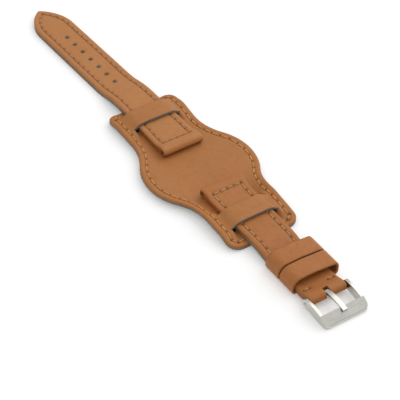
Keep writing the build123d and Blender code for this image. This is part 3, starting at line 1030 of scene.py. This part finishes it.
def edge_shares(sides, cells, half_block=hole_block):
    """Shares of the half-width across a strap, with cells of the block at its middle."""
    places = list(np.linspace(0, half_block, cells + 1)) + sides
    return np.array(both_ways(places)) / sides[-1]


def strap_stitches(strap):
    """Stitches of a strap piece: the box row at the lugs, both sides, and the tail's point."""
    inset = strap_stitch_inset
    start = strap.lug_end + box_stitch_setback
    box_half = float(half_width(strap, start)) - inset
    kink = (pad_end, strap_half - inset)
    edges = [line((start, box_half), kink), line(kink, strap.row_end)]
    if strap is Tail:
        lean = acos((shoulder_radius - tail_half) / (shoulder_radius - inset))
        centre = (tip_start, tail_half - shoulder_radius)
        edges.append(arc(centre, shoulder_radius - inset, pi / 2, pi / 2 - lean))
    sides = [stitch for stitch in stitches_on(edges) if stitch[0] < strap.last_stitch]
    box = stitches_on([line((start, -box_half), (start, box_half))])
    both = mirrored(sides) + box
    return [(strap.out * x, y, pi - h if strap.out < 0 else h, n) for x, y, h, n in both]


def hole_rim(middle):
    """Material index of a rim: 1 inside a hole, 2 along the outline."""
    beside = min(hypot(abs(middle[0]) - mark, middle[1]) for mark in hole_marks())
    return 1 if middle[0] < 0 and beside < 1.2 * hole_radius else 2


def make_facing(name, strap, rows, shares, stitches, node, cells=0, slot_span=None):
    """The facing of a strap piece: rolled edges, dents at its stitches, and both folds."""
    parameter, inner, outer = facing_table(strap)
    along, share, hole_x, hole_y, faces = layer_grid(rows, shares, strap, cells, slot_span)
    count = len(along)
    along = np.concatenate([along, hole_x])
    out_x, out_z, in_x, in_z = (
        np.interp(along, parameter, track[:, k]) for track in (outer, inner) for k in (0, 1)
    )
    out_y, in_y = (
        np.concatenate([share * half_width(strap, x[:count]), hole_y]) for x in (out_x, in_x)
    )
    normal = np.column_stack([out_x - in_x, out_z - in_z])
    normal /= np.linalg.norm(normal, axis=1)[:, None]
    depth = edge_depth(strap, out_x, out_y)
    topside = (along > strap.channel) & (along < strap.end + 0.5)
    dents = stitch_dents(strap.out * out_x, out_y, stitches)
    pull, dark = (part * topside for part in dents)
    roll = edge_round(depth) * np.where(normal[:, 1] < -0.5, underside_roll, 1)
    pillow = strap_pillow * falloff(depth - strap_pillow_inset, strap_pillow_reach) * topside
    crown = strap_crown * np.clip(depth / strap_crown_reach, 0, 1) * topside
    rim = np.zeros_like(roll)
    for mark in hole_marks() if cells else ():
        away = np.maximum(np.hypot(out_x - mark, out_y) - hole_radius, 0)
        rim = np.maximum(rim, falloff(away, hole_sink_reach))
    lift = ripple_height * ripple(out_x * strap.out, out_y) * topside
    lift = lift + pillow + crown - pull - roll - hole_sink * rim
    out_x = out_x + normal[:, 0] * lift
    out_z = out_z + normal[:, 1] * lift
    upper = np.column_stack([strap.out * out_x, out_y, out_z])
    lower = np.column_stack([strap.out * in_x, in_y, in_z])
    # Painted shadow: the lug fold's lower half is darkened, standing in for the shadow under it
    under = np.clip(-normal[:, 1], 0, 1) * (along < strap.channel)
    # Painted shade at the needle holes; the rolled edges and the holes' rims are darker too
    shade = needle_shade * dark + 0.2 * np.clip(roll / edge_drop, 0, 1) + 0.3 * rim
    shade = np.clip(shade + fold_shade * under * (1 - under), 0, 1)
    shell(
        name, upper, lower, faces, strap.body, node,
        [strap.leather, hole_edge, tan_edge], hole_rim, shade,
    )


def make_layer(name, strap, rows, shares, slot, node, cells=0, slot_span=None):
    """The filler of a strap piece, or its lining, which has a groove along its stitches."""
    along, share, hole_x, hole_y, faces = layer_grid(rows, shares, strap, cells, slot_span)
    lining = slot == "dark_lining"
    material = dark_lining if lining else tan_edge
    half = half_width(strap, along) - (0 if lining else filler_inset)
    x, y = np.concatenate([along, hole_x]), np.concatenate([share * half, hole_y])
    if lining:
        top = run_height(strap, x, skin)
        under = run_height(strap, x, 0) + strap.lining_gap
        under = under + seam_groove(edge_depth(strap, x, y), strap_stitch_inset)
    else:
        top = facing_height(strap, x, 0)
        under = run_height(strap, x, skin)
    upper = np.column_stack([strap.out * x, y, top])
    lower = np.column_stack([strap.out * x, y, under])
    shell(
        name, upper, lower, faces, strap.body, node,
        [material, hole_edge, material], hole_rim,
    )


def sew(name, strap, stitches, node):
    """Stitches of a strap piece, in its upper face and its underside."""

    def upper(x, y):
        return float(facing_height(strap, abs(x), skin)) - stitch_pull + 0.06

    def lower(x, y):
        return float(run_height(strap, abs(x), 0)) + 0.2

    make_thread(name, stitches, upper, lower, strap.body, node, strap.thread)


coarse_shares = edge_shares(coarse_sides, 2)
channel_end = 0.9 * lug_channel_radius
tail_stitches = strap_stitches(Tail)
make_facing(
    "tail_facing", Tail, fold_rows(Tail) + tail_rows(fine, 5), edge_shares(fine_sides, 5),
    tail_stitches, "tail_top", cells=5,
)
make_layer(
    "tail_core", Tail, coarse_rows(tail_channel + channel_end), coarse_shares,
    "painted_edge", "tail_filler", cells=2,
)
make_layer(
    "tail_backing", Tail, coarse_rows(tail_channel + lug_flap + seam_gap), coarse_shares,
    "dark_lining", "tail_lining", cells=2,
)
sew("tail_stitching", Tail, tail_stitches, "tail_thread")

# Buckle piece: its slot for the tongue runs from the facing's top round the bar to its underside
slot_cells = 4
buckle_parameter = facing_table(Buckle)[0]
flap_start, flap_end = buckle_parameter[-line_points], buckle_parameter[-1]
under_slot = flap_end - (slot_x - (bar_x - bar_flap))
buckle_rows = fold_rows(Buckle) + through([buckle_channel, slot_x, bar_x], fine)[:-1]
buckle_rows += spaced(bar_x, flap_start, 0.2) + through([flap_start, under_slot, flap_end], 0.8)
buckle_stitches = strap_stitches(Buckle)
tack_stitches = [
    (bar_x - tack_setback, side * tack_spacing / 2, pi / 2, stitch_share * tack_length)
    for side in (-1, 1)
]
make_facing(
    "buckle_facing", Buckle, buckle_rows, edge_shares(fine_sides, slot_cells, slot_half),
    buckle_stitches + tack_stitches, "buckle_top", slot_span=(slot_x, under_slot, slot_cells),
)
core_marks = [buckle_channel + channel_end, slot_x, bar_x - 0.9 * bar_bore]
make_layer(
    "buckle_core", Buckle, through(core_marks, coarse), edge_shares(coarse_sides, 2, slot_half),
    "painted_edge", "buckle_filler", slot_span=(slot_x, bar_x, 2),
)
backing_marks = [buckle_channel + lug_flap + seam_gap, bar_x - bar_flap - seam_gap]
make_layer(
    "buckle_backing", Buckle, through(backing_marks, coarse), coarse_shares,
    "dark_lining", "buckle_lining",
)
sew("buckle_stitching", Buckle, buckle_stitches, "buckle_thread")
sew("tack_stitching", Buckle, tack_stitches, "tack_thread")


# Keepers: loops of leather with softened edges and a dark inner face
def divide(start, end, step):
    """Points after start up to end, about step apart."""
    count = max(1, round((end - start).length / step))
    return [tuple(start.lerp(end, index / count)) for index in range(1, count + 1)]


def rounded_line(corners, radii, step):
    """Points along straight runs whose inner corners are rounded."""
    points = [corners[0]]
    for before, corner, after, radius in zip(corners, corners[1:], corners[2:], radii):
        corner = Vector(corner)
        back = Vector(before) - corner
        ahead = Vector(after) - corner
        half = back.angle(ahead) / 2
        back.normalize()
        ahead.normalize()
        first = corner + back * (radius / tan(half))
        last = corner + ahead * (radius / tan(half))
        centre = corner + (back + ahead).normalized() * (radius / sin(half))
        points += divide(Vector(points[-1]), first, step)
        turn = pi - 2 * half
        count = max(3, round(radius * turn / (step / 2)))
        for index in range(1, count + 1):
            share = index / count
            spoke = (first - centre) * sin((1 - share) * turn)
            spoke += (last - centre) * sin(share * turn)
            points.append(tuple(centre + spoke / sin(turn)))
    return points + divide(Vector(points[-1]), Vector(corners[-1]), step)


def make_keeper(name, middle_x, body, node):
    """A closed loop of leather round the strap."""
    right = keeper_half + keeper_right_shift
    corners = [
        (0, 0), (right, 0), (right, keeper_height - keeper_right_drop), (0, keeper_height),
        (-keeper_half, keeper_height - keeper_left_drop), (-keeper_half, 0), (0, 0),
    ]
    radii = [
        keeper_bottom_radius, keeper_right_radius, keeper_crest_radius, keeper_left_radius,
        keeper_bottom_radius,
    ]
    loop = rounded_line(corners, radii, 0.6)[:-1]
    band = [(-0.5, 0.35), (-0.49, 0.12), (-0.465, 0.03), (-0.42, 0.0), (-0.38, 0.0)]
    band += [(k / 10, 0.0) for k in range(-3, 4)]
    band += [(-x, d) for x, d in reversed(band[:5])]
    band += [(0.49, 0.86), (0.45, 1.0), (0.0, 1.0), (-0.45, 1.0), (-0.49, 0.86)]
    points, faces, painted, shade = [], [], [], []
    count, sides = len(loop), len(band)
    for k, (y, z) in enumerate(loop):
        before = loop[(k - 1) % count]
        after = loop[(k + 1) % count]
        run = Vector((after[0] - before[0], after[1] - before[1])).normalized()
        out = Vector((run.y, -run.x))
        for x_share, depth in band:
            swell = keeper_swell * ripple(y * 1.7 + middle_x, z * 2 + x_share) if z > 1 else 0
            sag = keeper_sag * cos(pi * x_share) if z > 5.5 and depth < 0.9 else 0
            inward = max(depth * keeper_thickness - swell - sag, 0)
            points.append(
                (middle_x + x_share * keeper_width, y - out.x * inward, z - out.y * inward)
            )
            shade.append(0.2 if 0.02 < depth < 0.9 else 0.0)
    for k in range(count):
        n = (k + 1) % count
        for s in range(sides):
            t = (s + 1) % sides
            faces.append((k * sides + s, k * sides + t, n * sides + t, n * sides + s))
            painted.append(int(band[s][1] > 0.9 and band[t][1] > 0.9))
    make_piece(
        name, points, faces, body, [node], [buckle_leather, tan_edge], painted, shade
    )


fixed_x = bar_x - keeper_setback - keeper_width / 2
sliding_x = fixed_x - keeper_width - keeper_spacing
make_keeper("keeper_fixed", fixed_x, "buckle_strap", "fixed_keeper")
make_keeper("keeper_sliding", sliding_x, "sliding_keeper", "sliding_keeper")


# Steel pieces keep their CAD shape, and the two of the buckle get broken edges
def dress_steel(node, material, bevel_width=0):
    """Puts steel on a CAD node, and bevels its edges by a width."""
    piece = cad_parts[node]
    piece.data.materials.clear()
    piece.data.materials.append(material)
    if bevel_width:
        flat = piece.modifiers.new("flat", "DECIMATE")
        flat.decimate_type = "DISSOLVE"
        flat.angle_limit = radians(1)
        bevel = piece.modifiers.new("bevel", "BEVEL")
        bevel.width = bevel_width * MM
        bevel.segments = 3
        bevel.limit_method = "ANGLE"
        bevel.angle_limit = radians(35)
        bevel.harden_normals = True


dress_steel("buckle_frame", brushed_steel, 0.3)
dress_steel("buckle_tongue", brushed_steel, 0.3)
for node in ("bar_tube", "bar_pivot_left", "bar_pivot_right", "bar_spring"):
    dress_steel(node, plain_steel)


# Camera: found by fitting the strap's own edges in the photo
camera_azimuth = 55.199
camera_elevation = 42.646
camera_roll = 1.424
camera_distance = 717.866
camera_focus_pixels = 1715.327
camera_target = (14.998, -10.016, 0)
image_pixels = 400
sensor_width = 36

# Light
horizon_light = 0.38
zenith_light = 0.87
lamp_watts = 5.0
lamp_size = 1.3
lamp_place = Vector((-0.15, 0.85, 0.75))
floor_half = 3.0
floor_grey = 0.9
floor_glow = 0.24


def make_camera():
    """The camera at the photo's viewing angle."""
    a, e, r = radians(camera_azimuth), radians(camera_elevation), radians(camera_roll)
    back = Vector((sin(a) * cos(e), -cos(a) * cos(e), sin(e)))
    level = Vector((cos(a), sin(a), 0))
    up = back.cross(level)
    right = level * cos(r) + up * sin(r)
    up = up * cos(r) - level * sin(r)
    data = bpy.data.cameras.new("camera")
    data.sensor_width = sensor_width
    data.lens = camera_focus_pixels * sensor_width / image_pixels
    data.clip_start = 0.01
    data.clip_end = 20
    camera = placed("camera", data)
    turn = Matrix((right, up, back)).transposed().to_4x4()
    place = (Vector(camera_target) + back * camera_distance) * MM
    camera.matrix_world = Matrix.Translation(place) @ turn
    bpy.context.scene.camera = camera


def make_floor():
    """A pale floor that keeps the soft shadow, and glows a little where it is looked at."""
    mesh = bpy.data.meshes.new("floor")
    corners = [(-1, -1), (1, -1), (1, 1), (-1, 1)]
    mesh.from_pydata([(x * floor_half, y * floor_half, 0) for x, y in corners], [], [range(4)])
    floor = placed("floor", mesh)
    material, principled, add = shader("floor_white")
    ray = add("ShaderNodeLightPath").outputs
    bent = maths(add, "MAXIMUM", ray["Is Glossy Ray"], ray["Is Transmission Ray"])
    seen = maths(add, "MAXIMUM", ray["Is Camera Ray"], bent)
    feed(principled, {
        "Base Color": (floor_grey, floor_grey, floor_grey),
        "Roughness": 0.9,
        "Specular IOR Level": 0.0,
        "Emission Color": (1, 1, 1),
        "Emission Strength": maths(add, "MULTIPLY", seen, floor_glow),
    })
    mesh.materials.append(material)


def make_lights():
    """Soft studio light: a white room, brightest overhead, and one large lamp."""
    world = bpy.data.worlds.new("studio")
    world.use_nodes = True
    nodes = world.node_tree.nodes
    add = adder(world.node_tree)
    split = add("ShaderNodeSeparateXYZ", {0: add("ShaderNodeTexCoord").outputs["Generated"]})
    glow = ramp(add, split.outputs["Z"], 0.0, 1.0, horizon_light, zenith_light)
    room = nodes["Background"]
    feed(room, {"Color": (1, 1, 1), "Strength": glow})
    seen = add("ShaderNodeLightPath").outputs["Is Camera Ray"]
    white = add("ShaderNodeBackground", {"Strength": 1.0})
    mix = add("ShaderNodeMixShader", {0: seen, 1: room.outputs[0], 2: white.outputs[0]})
    feed(nodes["World Output"], {"Surface": mix.outputs[0]})
    bpy.context.scene.world = world
    data = bpy.data.lights.new("key", "AREA")
    data.shape = "DISK"
    data.size = lamp_size
    data.energy = lamp_watts
    lamp = placed("key", data)
    lamp.location = lamp_place
    lamp.rotation_euler = (-lamp_place).to_track_quat("-Z", "Y").to_euler()


make_camera()
make_floor()
make_lights()
bpy.context.scene.view_settings.view_transform = "Standard"
